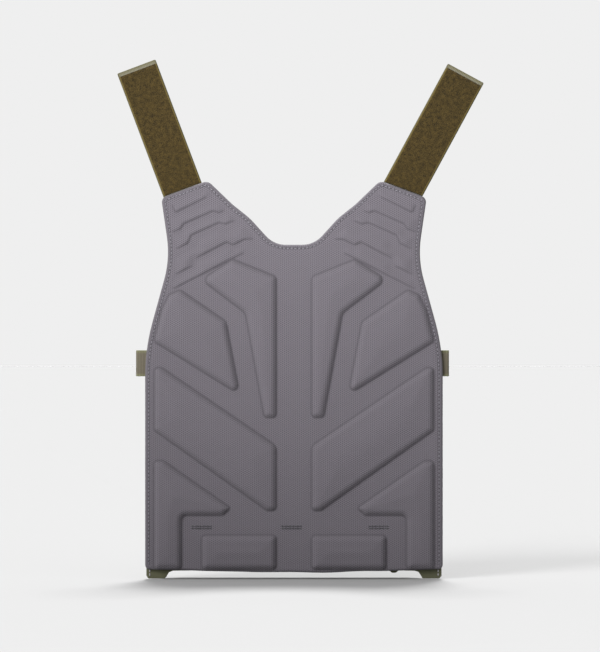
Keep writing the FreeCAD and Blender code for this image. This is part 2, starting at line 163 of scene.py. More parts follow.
def inside(points, loop):
    """Whether each point is inside a loop, by counting crossings."""
    if len(points) > 4000:
        parts = np.array_split(points, len(points) // 4000 + 1)
        return np.concatenate([inside(part, loop) for part in parts])
    x, z = points[:, 0][:, None], points[:, 1][:, None]
    x0, z0 = loop[:, 0], loop[:, 1]
    x1, z1 = np.roll(x0, -1), np.roll(z0, -1)
    spans = (z0 > z) != (z1 > z)
    level = np.where(z1 == z0, 1e-12, z1 - z0)
    crosses = spans & (x < (x1 - x0) * (z - z0) / level + x0)
    return crosses.sum(1) % 2 == 1


def smooth(value, start, end):
    """0 before start, 1 after end, and a soft step between."""
    t = np.clip((value - start) / (end - start), 0, 1)
    return t * t * (3 - 2 * t)


def undulation(points, wavelength, seed):
    """A gentle unevenness from -1 to 1, the same every run."""
    turns = np.random.default_rng(seed).uniform(0, TAU, (6, 2))
    total = np.zeros(len(points))
    for index, (turn, phase) in enumerate(turns):
        reach = wavelength * (0.6 + 0.25 * index)
        along = points[:, 0] * math.cos(turn) + points[:, 1] * math.sin(turn)
        total += np.sin(TAU * along / reach + phase)
    return total / 4


# ---------------------------------------------------------------- cut pieces of cloth and foam


def triangulated(loop, spacing, creases=()):
    """Points and triangles that fill a loop. Points near a crease move onto it."""
    step = spacing * 0.75**0.5
    lowest, highest = loop.min(0), loop.max(0)
    grid = []
    for i, z in enumerate(np.arange(lowest[1], highest[1], step)):
        x = np.arange(lowest[0] + (i % 2) * spacing / 2, highest[0], spacing)
        grid.append(np.column_stack([x, np.full(len(x), z)]))
    points = np.vstack(grid)
    for crease in creases:
        gap, foot = nearest(points, crease)
        close = np.abs(gap) < 0.5 * spacing
        points[close] = foot[close]
    gap, _ = nearest(points, loop)
    points = points[gap > 0.6 * spacing]
    count = len(loop)
    everything = [Vector(p) for p in np.vstack([loop, points])]
    rim = [(i, (i + 1) % count) for i in range(count)]
    made = geometry.delaunay_2d_cdt(everything, rim, [], 1, 1e-7)
    place_of = {old: new for new, olds in enumerate(made[3]) for old in olds}
    return np.array([v[:] for v in made[0]]), made[2], [place_of[i] for i in range(count)]


def piece(name, points, faces, weave, **attributes):
    """A mesh object with its flat pattern as the UV map called Weave."""
    mesh = bpy.data.meshes.new(name)
    mesh.from_pydata([tuple(p) for p in points], [], [tuple(f) for f in faces])
    mesh.update()
    layer = mesh.uv_layers.new(name="Weave")
    corner = np.empty(len(mesh.loops), int)
    mesh.loops.foreach_get("vertex_index", corner)
    layer.data.foreach_set("uv", np.asarray(weave, float)[corner].ravel())
    for key, values in attributes.items():
        attribute = mesh.attributes.new(key, "FLOAT", "POINT")
        attribute.data.foreach_set("value", np.asarray(values, np.float32))
    work = bmesh.new()
    work.from_mesh(mesh)
    bmesh.ops.recalc_face_normals(work, faces=work.faces)
    work.to_mesh(mesh)
    work.free()
    mesh.polygons.foreach_set("use_smooth", [True] * len(mesh.polygons))
    made = bpy.data.objects.new(name, mesh)
    bpy.context.scene.collection.objects.link(made)
    return made


RIM_STEPS = 6


def rounded_rim(ring, normal, edge, square, top, bottom):
    """The rings of a rounded edge, as (points with height, flat pattern) from the front to the back."""
    middle, half = (top + bottom) / 2, (top - bottom) / 2
    run = np.zeros(len(ring))
    for step in range(1, RIM_STEPS):
        angle = math.pi * step / RIM_STEPS
        out = edge * math.sin(angle) ** (2 / square)
        height = math.copysign(abs(math.cos(angle)) ** (2 / square), math.cos(angle))
        where = ring + normal * out
        run = run + np.maximum(half, edge) * math.pi / RIM_STEPS
        yield np.column_stack([where, middle + half * height]), where + normal * run[:, None]


def back_face(ring, points, bottom, gap, faces, order, edge, plain):
    """The back of a slab: its points, pattern, edge distances, faces and rim numbers."""
    if not plain:
        return np.column_stack([points, bottom]), points, gap, faces, order
    _, plain_faces, plain_order = triangulated(ring, 1.0)
    inverse = {new: old for old, new in enumerate(plain_order)}
    renumbered = [[inverse[i] for i in face] for face in plain_faces]
    rim = np.arange(len(ring))
    return np.column_stack([ring, bottom[order]]), ring, np.full(len(ring), edge), renumbered, rim


def slab(name, loop, spacing, front, back, place, edge=0.6 * MM, square=2.0, creases=(), plain_back=False,
         painted_shade=None):
    """A closed piece cut to a flat loop. front and back give its two heights from (points, distance
    to the edge); place turns (across, along, height) into row coordinates."""
    rim = resampled(loop, spacing)
    normal = outward(rim)
    ring = rim - normal * edge
    points, faces, order = triangulated(ring, spacing, creases)
    order = np.array(order)
    gap = np.maximum(nearest(points, rim)[0], 0)
    top, bottom = front(points, gap), back(points, gap)
    solid, weave, gaps = [np.column_stack([points, top])], [points], [gap]
    cells = [list(face) for face in faces]
    previous, base = order, len(points)
    for placed, pattern in rounded_rim(ring, normal, edge, square, top[order], bottom[order]):
        solid.append(placed)
        weave.append(pattern)
        gaps.append(np.zeros(len(order)))
        current = base + np.arange(len(order))
        cells += quads(previous, current)
        previous, base = current, base + len(order)
    rear = back_face(ring, points, bottom, gap, faces, order, edge, plain_back)
    solid.append(rear[0])
    weave.append(rear[1])
    gaps.append(rear[2])
    cells += quads(previous, base + rear[4])
    cells += [[base + i for i in face][::-1] for face in rear[3]]
    flat = np.vstack(solid)
    extra = {"edge": np.concatenate(gaps) / MM}
    # painted shade: the crease attribute holds how much painted shade each point gets
    if painted_shade:
        extra["crease"] = painted_shade(flat[:, :2], extra["edge"] * MM)
    return piece(name, place(flat), cells, np.vstack(weave), **extra)


def quads(one, other):
    """Faces between two closed rings of vertex numbers."""
    ahead = np.roll(one, -1)
    other_ahead = np.roll(other, -1)
    return [list(face) for face in zip(one, ahead, other_ahead, other)]


def facing_wearer(flat):
    """Lays (x, z, height) with height towards the wearer."""
    return np.column_stack([flat[:, 0], -flat[:, 2], flat[:, 1]])


def facing_out(flat):
    """Lays (x, z, height) with height away from the wearer."""
    return np.column_stack([flat[:, 0], flat[:, 2], flat[:, 1]])


def level(height):
    """A flat side of a slab."""
    return lambda points, gap: np.full(len(points), float(height))


def finish_piece(made, body, paint, replaced=()):
    """Puts the material on a piece, ties it to its body, and hides the CAD nodes it stands for."""
    made.data.materials.append(paint)
    if body:
        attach(made, body)
    if replaced:
        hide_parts(*replaced)
    return made


# ---------------------------------------------------------------- thread


def threads(name, runs, length, radius, lift, rounds=6):
    """Separate stitches along runs of (points, normals): a fat capsule for each stitch."""
    points, faces = [], []
    for path, normal, pitch in runs:
        gaps = np.linalg.norm(np.diff(path, axis=0), axis=1)
        run = np.concatenate([[0], np.cumsum(gaps)])
        count = max(1, int(run[-1] / pitch))
        for centre in (np.arange(count) + 0.5) * run[-1] / count:
            where = [np.array([np.interp(s, run, path[:, k]) for k in range(3)])
                     for s in (centre - length / 2, centre, centre + length / 2)]
            up = np.array([np.interp(centre, run, normal[:, k]) for k in range(3)])
            up /= np.linalg.norm(up)
            along = where[2] - where[0]
            size = np.linalg.norm(along)
            if size < 1e-9:
                continue
            along /= size
            side = np.cross(along, up)
            first = len(points)
            for t, fat in ((-1.0, 0.45), (-0.72, 0.85), (0.0, 1.0), (0.72, 0.85), (1.0, 0.45)):
                mid = where[1] + along * t * length / 2 + up * lift * (1 - 0.85 * t * t)
                for k in range(rounds):
                    angle = TAU * k / rounds
                    points.append(mid + radius * fat * (side * math.cos(angle) + up * math.sin(angle)))
            for ring in range(4):
                for k in range(rounds):
                    a, b = first + ring * rounds + k, first + ring * rounds + (k + 1) % rounds
                    faces.append((a, b, b + rounds, a + rounds))
            faces.append(tuple(first + k for k in range(rounds))[::-1])
            faces.append(tuple(first + 4 * rounds + k for k in range(rounds)))
    points = np.array(points)
    return piece(name, points, faces, points[:, [0, 2]])


def zigzag(centre, across, along, width, length, turns):
    """The path of a bartack's thread."""
    steps = np.arange(2 * turns + 1)
    swing = np.where(steps % 2 == 0, -0.5, 0.5) * width
    reach = (steps / (2 * turns) - 0.5) * length
    return np.array(centre) + np.outer(swing, across) + np.outer(reach, along)


def cords(name, paths, radius, sides=5):
    """Round thread or piping along open paths."""
    points, faces = [], []
    for path in paths:
        first = len(points)
        tangent = np.gradient(path, axis=0)
        tangent /= np.linalg.norm(tangent, axis=1)[:, None]
        for here, along in zip(path, tangent):
            guide = np.array([0, 1, 0]) if abs(along[1]) < 0.8 else np.array([1, 0, 0])
            one = np.cross(along, guide)
            one /= np.linalg.norm(one)
            two = np.cross(along, one)
            for k in range(sides):
                angle = TAU * k / sides
                points.append(here + radius * (one * math.cos(angle) + two * math.sin(angle)))
        for ring in range(len(path) - 1):
            for k in range(sides):
                a, b = first + ring * sides + k, first + ring * sides + (k + 1) % sides
                faces.append((a, b, b + sides, a + sides))
        faces.append(tuple(first + k for k in range(sides)))
        last = first + (len(path) - 1) * sides
        faces.append(tuple(last + k for k in range(sides))[::-1])
    points = np.array(points)
    return piece(name, points, faces, points[:, [0, 2]])


# ---------------------------------------------------------------- materials


def linear(colour):
    """An sRGB colour, 0 to 255, as the shader wants it."""
    shares = [c / 255 for c in colour]
    return tuple(c / 12.92 if c <= 0.04 else ((c + 0.055) / 1.055) ** 2.4 for c in shares) + (1.0,)


class Paint:
    """Builds a material from maths on the Weave map."""

    def __init__(self, name, roughness=0.85, sheen=0.0, specular=0.25, solid=False):
        self.material = bpy.data.materials.new(name)
        self.material.use_nodes = True
        self.nodes = self.material.node_tree.nodes
        self.links = self.material.node_tree.links
        self.shader = self.nodes["Principled BSDF"]
        self.shader.inputs["Roughness"].default_value = roughness
        self.shader.inputs["Sheen Weight"].default_value = sheen
        self.shader.inputs["Sheen Roughness"].default_value = 0.5
        self.shader.inputs["Specular IOR Level"].default_value = specular
        if solid:
            self.weave = self.nodes.new("ShaderNodeTexCoord").outputs["Object"]
        else:
            weave = self.nodes.new("ShaderNodeUVMap")
            weave.uv_map = "Weave"
            self.weave = weave.outputs["UV"]
        parts = self.nodes.new("ShaderNodeSeparateXYZ")
        self.links.new(self.weave, parts.inputs[0])
        self.u, self.v = parts.outputs[0], parts.outputs[1]

    def feed(self, socket, value):
        """Links an output, or sets a number."""
        if isinstance(value, bpy.types.NodeSocket):
            self.links.new(value, socket)
        else:
            socket.default_value = value

    def maths(self, operation, *values):
        """One step of arithmetic."""
        node = self.nodes.new("ShaderNodeMath")
        node.operation = operation
        for socket, value in zip(node.inputs, values):
            self.feed(socket, value)
        return node.outputs[0]

    def wave(self, across, along, pitch, phase=0.0):
        """A cosine across the weave in the direction (across, along)."""
        part = self.maths("MULTIPLY", self.u, across * TAU / pitch)
        total = self.maths("MULTIPLY_ADD", self.v, along * TAU / pitch, part)
        return self.maths("COSINE", self.maths("ADD", total, phase))

    def noise(self, size, detail=2.0, stretch=(1.0, 1.0)):
        """Cloudy noise from 0 to 1 with features of this size."""
        scaling = self.nodes.new("ShaderNodeMapping")
        scaling.inputs["Scale"].default_value = (stretch[0] / size, stretch[1] / size, 1.0)
        self.links.new(self.weave, scaling.inputs[0])
        node = self.nodes.new("ShaderNodeTexNoise")
        node.inputs["Scale"].default_value = 1.0
        node.inputs["Detail"].default_value = detail
        self.links.new(scaling.outputs[0], node.inputs["Vector"])
        return node.outputs[0]

    def ramp(self, value, start, end):
        """0 below start, 1 above end."""
        node = self.nodes.new("ShaderNodeMapRange")
        for socket, item in zip(node.inputs, (value, start, end, 0.0, 1.0)):
            self.feed(socket, item)
        return node.outputs[0]

    def attribute(self, name):
        """A number kept on the mesh's points."""
        node = self.nodes.new("ShaderNodeAttribute")
        node.attribute_name = name
        return node.outputs["Fac"]

    def mix(self, amount, one, other):
        """A blend of two colours."""
        node = self.nodes.new("ShaderNodeMix")
        node.data_type = "RGBA"
        self.feed(node.inputs[0], amount)
        self.feed(node.inputs[6], one if isinstance(one, bpy.types.NodeSocket) else linear(one))
        self.feed(node.inputs[7], other if isinstance(other, bpy.types.NodeSocket) else linear(other))
        return node.outputs[2]

    def done(self, colour, height=None, depth=0.0):
        """Sets the colour and the relief, and gives back the material."""
        if isinstance(colour, bpy.types.NodeSocket):
            self.links.new(colour, self.shader.inputs["Base Color"])
        else:
            self.shader.inputs["Base Color"].default_value = linear(colour)
        if height is not None:
            bump = self.nodes.new("ShaderNodeBump")
            bump.inputs["Distance"].default_value = depth
            self.links.new(height, bump.inputs["Height"])
            self.links.new(bump.outputs[0], self.shader.inputs["Normal"])
        return self.material


def spacer_mesh(name, light, dark):
    """Knitted spacer mesh: rows of knots with small dark openings between them, and painted shade in the
    creases.
    """
    paint = Paint(name, 0.9, 0.08)
    pitch = 2.1 * MM * 0.866
    rows = [paint.wave(math.cos(a), math.sin(a), pitch) for a in (0.0, TAU / 6, TAU / 3)]
    total = paint.maths("ADD", paint.maths("ADD", rows[0], rows[1]), rows[2])
    knots = paint.ramp(total, 2.2, -1.3)
    fibre = paint.noise(0.5 * MM, 3.0)
    patch = paint.noise(45 * MM, 2.0)
    base = paint.mix(paint.maths("MULTIPLY", knots, paint.ramp(fibre, 0.1, 0.6)), dark, light)
    worn = paint.mix(paint.ramp(patch, 0.2, 0.9), base, tuple(c * 0.88 for c in light))
    # painted shade: the crease attribute pulls the mesh towards near black in the seam groove, at the pad
    # feet and under the rib edges
    shade = paint.maths("MULTIPLY", paint.attribute("crease"), 0.55)
    return paint.done(paint.mix(shade, paint.mix(0.25, base, worn), (24, 22, 26)), knots, 0.25 * MM)


def cordura(name, light, dark, pitch=0.7 * MM):
    """Plain-woven nylon cloth."""
    paint = Paint(name, 0.8, 0.05, 0.3)
    over = paint.maths("MULTIPLY", paint.wave(1, 0, pitch * 2), paint.wave(0, 1, pitch * 2))
    yarn = paint.ramp(over, -1.0, 1.0)
    cloud = paint.ramp(paint.noise(55 * MM, 2.0), 0.0, 1.0)
    grain = paint.ramp(paint.noise(0.8 * MM, 3.0), 0.2, 0.8)
    shade = paint.maths("MULTIPLY_ADD", yarn, 0.45, paint.maths("MULTIPLY", cloud, 0.5))
    base = paint.mix(shade, dark, light)
    return paint.done(paint.mix(paint.maths("MULTIPLY", grain, 0.25), base, dark), yarn, 0.15 * MM)


def ribbed(name, light, dark, middle, across_v=False):
    """Woven webbing with fine ribs and a paler edge."""
    paint = Paint(name, 0.75, 0.05, 0.3)
    ribs = paint.wave(0, 1, 1.5 * MM) if across_v else paint.wave(1, 0, 1.5 * MM)
    cross = paint.wave(1, 0, 1.1 * MM) if across_v else paint.wave(0, 1, 1.1 * MM)
    total = paint.ramp(paint.maths("MULTIPLY_ADD", cross, 0.4, ribs), -1.4, 1.4)
    rim = paint.ramp(paint.attribute("edge"), 3.5, 0.8)
    streak = paint.ramp(paint.noise(6 * MM, 3.0, (3.0, 0.4)), 0.2, 0.8)
    base = paint.mix(rim, middle, light)
    base = paint.mix(paint.maths("MULTIPLY", streak, 0.35), base, dark)
    return paint.done(paint.mix(paint.maths("MULTIPLY_ADD", total, -0.4, 0.4), base, dark), total, 0.3 * MM)


def pile(name, light, dark, edge_colour, half_width=1.0):
    """Loop pile: a soft tangle of fine loops between two woven edges."""
    paint = Paint(name, 0.95, 0.06, 0.1)
    tangle = paint.noise(0.9 * MM, 5.0)
    clump = paint.noise(4 * MM, 3.0)
    total = paint.ramp(paint.maths("MULTIPLY_ADD", clump, 0.5, tangle), 0.5, 0.95)
    base = paint.mix(total, dark, light)
    across = paint.maths("ABSOLUTE", paint.u)
    rim = paint.ramp(across, half_width - 1.6 * MM, half_width - 1.1 * MM)
    return paint.done(paint.mix(paint.maths("MULTIPLY", rim, 0.8), base, edge_colour), total, 0.6 * MM)


def thread(name, colour):
    """Twisted sewing thread."""
    paint = Paint(name, 0.6, 0.2, 0.4)
    twist = paint.ramp(paint.wave(0.7, 0.7, 0.45 * MM), -1, 1)
    dark = tuple(c * 0.7 for c in colour)
    return paint.done(paint.mix(twist, dark, colour), twist, 0.08 * MM)


def grained(name, light, dark, size, roughness, solid=False):
    """Foam or moulded plastic with a fine grain."""
    paint = Paint(name, roughness, 0.0, 0.4, solid)
    grain = paint.ramp(paint.noise(size, 4.0), 0.25, 0.75)
    return paint.done(paint.mix(grain, dark, light), grain, 0.1 * MM)


MESH = spacer_mesh("spacer_mesh", (90, 86, 92), (50, 47, 52))
LINING = cordura("lining_cloth", (84, 84, 60), (46, 47, 34))
SHELL = cordura("carrier_cloth", (78, 80, 57), (44, 46, 33))
WEBBING = ribbed("olive_webbing", (96, 96, 66), (46, 45, 32), (84, 81, 60))
TAB = ribbed("tab_webbing", (100, 100, 72), (44, 41, 33), (86, 80, 66), True)
STRAP = ribbed("strap_webbing", (76, 72, 46), (56, 54, 42), (98, 95, 80))
LOOP = pile("strap_loop_pile", (62, 50, 22), (11, 8, 2), (78, 68, 34), 19.4 * MM)
PATCH = pile("patch_loop_pile", (98, 96, 66), (52, 52, 34), (96, 94, 66))
HOOK = pile("hook_pile", (88, 86, 62), (40, 40, 28), (90, 88, 62))
GREY_THREAD = thread("grey_thread", (108, 105, 113))
BLUE_THREAD = thread("bluish_thread", (24, 25, 32))
# painted light: a much paler copy of the grey thread for the ear stitches, lit up against the shade the
# panel casts on the ears
PAINTED_LIT_THREAD = thread("painted_lit_thread", (170, 166, 172))
OLIVE_THREAD = thread("olive_thread", (74, 74, 50))
FOAM = grained("closed_foam", (70, 70, 74), (48, 48, 52), 1.0 * MM, 0.9)
PLATE = grained("plate_cover", (58, 60, 58), (38, 40, 38), 0.8 * MM, 0.6, True)


# ---------------------------------------------------------------- the comfort panel

CHANNEL = -6.0 * MM
PAD_RISE = 6.0 * MM
PAD_SLOPE = 6.5 * MM
PAD_CROWN = 1.5 * MM
RIB_RISE = 1.7 * MM
SEAM_END = 13.5 * MM
SEAM_INSET = 3.6 * MM
PANEL_STEP = 1.4 * MM

panel_loop = resampled(face_outline("face_mesh", high("face_mesh").y), 0.8 * MM)
turned = smooth(panel_loop[:, 1], 12 * MM, 8 * MM)
panel_loop[:, 1] += 0.8 * MM * turned * undulation(panel_loop, 70 * MM, 5)
pad_loops = [face_outline(f"{pad}_{side}", 7 * MM) for pad in PAD_NAMES for side in SIDES]
rib_loops = [face_outline(f"{rib}_{side}", 7 * MM) for rib in RIB_NAMES for side in SIDES]


def around(points, loop, margin):
    """The numbers of the points near a loop."""
    low_corner, high_corner = loop.min(0) - margin, loop.max(0) + margin
    return np.flatnonzero(((points > low_corner) & (points < high_corner)).all(1))


def comfort_height(points, gap):
    """The padded face: channels, moulded pads with a crisp foot, ribs that step up to a sharp lower edge."""
    height = np.full(len(points), CHANNEL) + 0.25 * MM * undulation(points, 60 * MM, 3)
    for loop in pad_loops:
        near = around(points, loop, 0.0)
        depth, _ = nearest(points[near], loop)
        t = np.clip(depth / PAD_SLOPE, 0, 1)
        crown = PAD_CROWN * smooth(depth, 0.5 * PAD_SLOPE, 26 * MM)
        rise = (PAD_RISE - PAD_CROWN) * (1 - (1 - t) ** 2.1) ** 0.85 + crown
        height[near] = np.maximum(height[near], CHANNEL + np.where(depth > 0, rise, 0))
    for loop in rib_loops:
        near = around(points, loop, 0.0)
        depth, lower, upper = rib_gaps(points[near], loop)
        rise = RIB_RISE * (0.15 + 0.85 * smooth(upper, 0, 9 * MM)) * smooth(lower, 0, 1.8 * MM)
        rise = rise * smooth(upper, 0, 2.5 * MM)
        height[near] = np.maximum(height[near], CHANNEL + np.where(depth > 0, rise, 0))
    groove = np.exp(-(((gap - SEAM_INSET) / (1.1 * MM)) ** 2)) * (points[:, 1] > SEAM_END)
    roll = 1 - smooth(gap, 0, 3.0 * MM)
    return height - 0.7 * MM * groove - 0.5 * MM * roll


def rib_gaps(points, loop):
    """Distances inside a rib: to its outline, to its sharp lower edge and to the rest of its outline."""
    depth, _ = nearest(points, loop)
    below = outward(loop)[:, 1] < -0.35
    lower, _ = nearest(points, loop, np.flatnonzero(below))
    upper, _ = nearest(points, loop, np.flatnonzero(~below))
    return depth, np.abs(lower), np.abs(upper)


def comfort_crease_shade(points, gap):
    """How much painted shade each point gets, from 0 to 1: shade painted into the seam groove, at the foot
    of each pad and along each rib's lower edge.
    """
    crease = 1.1 * np.exp(-(((gap - SEAM_INSET) / (0.75 * MM)) ** 2)) * (points[:, 1] > SEAM_END)
    for loop in pad_loops:
        near = around(points, loop, 3 * MM)
        depth, _ = nearest(points[near], loop)
        crease[near] = np.maximum(crease[near], 0.7 * np.exp(-((depth / (0.9 * MM)) ** 2)))
    for loop in rib_loops:
        near = around(points, loop, 3 * MM)
        depth, lower, upper = rib_gaps(points[near], loop)
        mark = np.exp(-((lower / (0.7 * MM)) ** 2)) * smooth(upper, 0.2 * MM, 2 * MM)
        crease[near] = np.maximum(crease[near], 0.6 * mark)
    return crease


comfort = slab(
    "comfort_panel", panel_loop, PANEL_STEP, comfort_height, level(-12 * MM), facing_wearer,
    edge=2.2 * MM, creases=pad_loops + rib_loops, plain_back=True, painted_shade=comfort_crease_shade,
)
comfort_nodes = ["face_mesh", "foam_board"]
comfort_nodes += [f"{name}_{side}" for name in PAD_NAMES + RIB_NAMES for side in SIDES]
finish_piece(comfort, "panel", MESH, comfort_nodes)

# ---------------------------------------------------------------- seams on the panel

seam_line = resampled(panel_loop, 1.0 * MM)
seam_line = seam_line - outward(seam_line) * SEAM_INSET
starts = np.flatnonzero((seam_line[:, 1] > SEAM_END) & (np.roll(seam_line[:, 1], 1) <= SEAM_END))[0]
seam_line = np.roll(seam_line, -starts, axis=0)
seam_line = seam_line[seam_line[:, 1] > SEAM_END]
seam_path = np.column_stack([seam_line[:, 0], np.full(len(seam_line), 6.6 * MM), seam_line[:, 1]])
toward_wearer = np.tile([0.0, -1.0, 0.0], (len(seam_path), 1))
seam = threads("edge_seam", [(seam_path, toward_wearer, 3.7 * MM)], 2.3 * MM, 0.45 * MM, 0.4 * MM)
finish_piece(seam, "panel", GREY_THREAD, ["edge_stitching"])

BARTACK_LENGTH = 20 * MM
TACK_PLACES = (-90.0 * MM, -2.5 * MM, 82.5 * MM)
tack_low, tack_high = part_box("panel_bartacks")
tack_level = (tack_low.z + tack_high.z) / 2
tack_paths = []
for x in TACK_PLACES:
    for row in (-1, 1):
        line = np.array([[x - BARTACK_LENGTH / 2, 5.7 * MM, tack_level + row * 1.1 * MM],
                         [x + BARTACK_LENGTH / 2, 5.7 * MM, tack_level + row * 1.1 * MM]])
        tack_paths.append((line, np.tile([0.0, -1.0, 0.0], (2, 1)), 2.4 * MM))
tacks = threads("panel_bartack_threads", tack_paths, 1.9 * MM, 0.5 * MM, 0.4 * MM)
finish_piece(tacks, "panel", BLUE_THREAD, ["panel_bartacks"])

# ---------------------------------------------------------------- lining and outer shell

lining_loop = face_outline("pocket_lining", high("pocket_lining").y)
lining = slab(
    "pocket_lining_cloth", lining_loop, 4 * MM, level(13 * MM), level(12 * MM), facing_out, edge=0.5 * MM,
)
finish_piece(lining, "panel", LINING, ["pocket_lining"])
abs(area_of(lining_loop))

TRAY_DEPTH = 17 * MM
GUSSET_INNER = 2.2 * MM
GUSSET_OUTER = 8 * MM
GUSSET_RUN = GUSSET_OUTER - GUSSET_INNER
GUSSET_MIDDLE = (GUSSET_OUTER + GUSSET_INNER) / 2
MOUTH_HALF = 123.5 * MM
MOUTH_LEVEL = 10 * MM
plate_loop = face_outline("protector_plate", low("protector_plate").y)


def tray(points):
    """How far the shell has risen round the plate, from 0 to 1."""
    gap, _ = nearest(points, plate_loop)
    return smooth(gap, -GUSSET_OUTER, -GUSSET_INNER)


def shell_outer(points, gap):
    """The shell's outer face, slightly slack over the plate."""
    lift = tray(points)
    slack = 0.3 * MM * undulation(points, 70 * MM, 8) * lift
    return 14.2 * MM + TRAY_DEPTH * lift - 0.2 * MM * lift + slack


shell_loop = resampled(lining_loop, 2 * MM)
mouth = (np.abs(shell_loop[:, 0]) < MOUTH_HALF) & (shell_loop[:, 1] < MOUTH_LEVEL)
shell_loop[mouth, 1] = MOUTH_LEVEL
shell = slab(
    "outer_shell_cloth", shell_loop, 3.2 * MM, shell_outer,
    lambda points, gap: shell_outer(points, gap) - 1.1 * MM, facing_out, edge=0.55 * MM,
)
finish_piece(shell, "panel", SHELL, ["outer_shell"])
gusset_extra = math.hypot(GUSSET_RUN, TRAY_DEPTH) - GUSSET_RUN
gusset_line = resampled(plate_loop, 1 * MM)
gusset_line = gusset_line + outward(gusset_line) * GUSSET_MIDDLE
gusset_steps = np.linalg.norm(gusset_line - np.roll(gusset_line, 1, axis=0), axis=1)
gusset_length = gusset_steps[gusset_line[:, 1] > low("protector_plate").z].sum()
shell_area = abs(area_of(shell_loop)) + gusset_extra * gusset_length

piping_line = resampled(plate_loop, 3 * MM)
piping_line = piping_line + outward(piping_line) * 2.4 * MM
open_end = piping_line[:, 1] > 14 * MM
piping_line = np.roll(piping_line, -np.flatnonzero(open_end & ~np.roll(open_end, 1))[0], axis=0)
piping_line = piping_line[piping_line[:, 1] > 14 * MM]
piping_depth = shell_outer(piping_line, None) - 0.3 * MM
piping_path = np.column_stack([piping_line[:, 0], piping_depth, piping_line[:, 1]])
piping = cords("shell_piping", [piping_path], 1.3 * MM, 8)
finish_piece(piping, "panel", SHELL)

shell_seam = resampled(lining_loop, 1.5 * MM)
shell_seam = shell_seam - outward(shell_seam) * 4 * MM
upper = shell_seam[:, 1] > 14 * MM
shell_seam = np.roll(shell_seam, -np.flatnonzero(upper & ~np.roll(upper, 1))[0], axis=0)
shell_seam = shell_seam[shell_seam[:, 1] > 14 * MM]
shell_path = np.column_stack([shell_seam[:, 0], np.full(len(shell_seam), 14.3 * MM), shell_seam[:, 1]])
away = np.tile([0.0, 1.0, 0.0], (len(shell_path), 1))
rear_seam = threads("shell_seam", [(shell_path, away, 4.2 * MM)], 3.2 * MM, 0.3 * MM, 0.25 * MM)
finish_piece(rear_seam, "panel", OLIVE_THREAD)

# the ear stitches get the paler thread, a painted highlight against the panel's shade
ear_runs = []
for sign in (-1, 1):
    ear = np.array([[sign * 140.6 * MM, 11.9 * MM, z * MM] for z in (2.2, 9.5)])
    ear_runs.append((ear, np.tile([0.0, -1.0, 0.0], (2, 1)), 3.6 * MM))
ears = threads("ear_seam", ear_runs, 2.6 * MM, 0.45 * MM, 0.3 * MM)
finish_piece(ears, "panel", PAINTED_LIT_THREAD)

# ---------------------------------------------------------------- plate and its foam

foam_loop = face_outline("plate_foam", low("plate_foam").y)
plate_foam = slab(
    "plate_foam_pad", foam_loop, 8 * MM, level(19.3 * MM), level(13.3 * MM), facing_out, edge=2 * MM,
)
finish_piece(plate_foam, "panel", FOAM, ["plate_foam"])
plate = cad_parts["protector_plate"]
plate.data.materials.clear()
plate.data.materials.append(PLATE)

# ---------------------------------------------------------------- shoulder straps

STRAP_WIDTH = 40 * MM
LOOP_WIDTH = 38.8 * MM
STRAP_LENGTH = 129 * MM
STRAP_LEANS = {"left": math.radians(-20.6), "right": math.radians(28.5)}
STRAP_PLACES = {"left": -108.6 * MM, "right": 106.4 * MM}
SHOULDER_SLOPE = math.radians(20.3)
BEND_FROM = 1.0 * MM
BEND_TO = 10.0 * MM


def strap_place(side):
    """Lays (across, along, height) on a strap, from the shoulder edge to the tip."""
    lean, x = STRAP_LEANS[side], STRAP_PLACES[side]
    z = 371.3 * MM + (129.4 * MM - abs(x)) * math.tan(SHOULDER_SLOPE)
    along = np.array([math.sin(lean), math.cos(lean)])
    across = np.array([math.cos(lean), -math.sin(lean)])

    def place(flat):
        where = np.array([x, z]) + flat[:, :1] * across + flat[:, 1:2] * along
        return np.column_stack([where[:, 0], flat[:, 2], where[:, 1]])

    return place


def strap_bend(made, side):
    """Works out the span along the shoulder edge where a strap piece leaves the panel, and bakes the piece's
    placement into its mesh; the piece is not bent.
    """
    sign = SIDES[side]
    root = strap_place(side)(np.array([[0.0, 0.0, 15 * MM]]))[0]
    across_edge = np.array([sign * math.sin(SHOULDER_SLOPE), 0.0, math.cos(SHOULDER_SLOPE)])
    start, end = root + BEND_FROM * across_edge, root + BEND_TO * across_edge
    tuple(start)
    tuple(end)
    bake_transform(made)


def rooted(loop, skew, root):
    """A strap's cut end follows the shoulder edge."""
    loop = loop.copy()
    lowest = loop[:, 1] < loop[:, 1].min() + 2 * MM
    loop[lowest, 1] = root + loop[lowest, 0] * math.tan(skew)
    return loop


def pile_height(points, gap):
    """The loop pile's uneven face, lower at the woven edges."""
    ragged = 0.25 * MM * (undulation(points, 2.2 * MM, 21) + undulation(points, 12 * MM, 22))
    return -12.6 * MM + (ragged + 0.25 * MM) * smooth(gap, 1.2 * MM, 2.1 * MM)


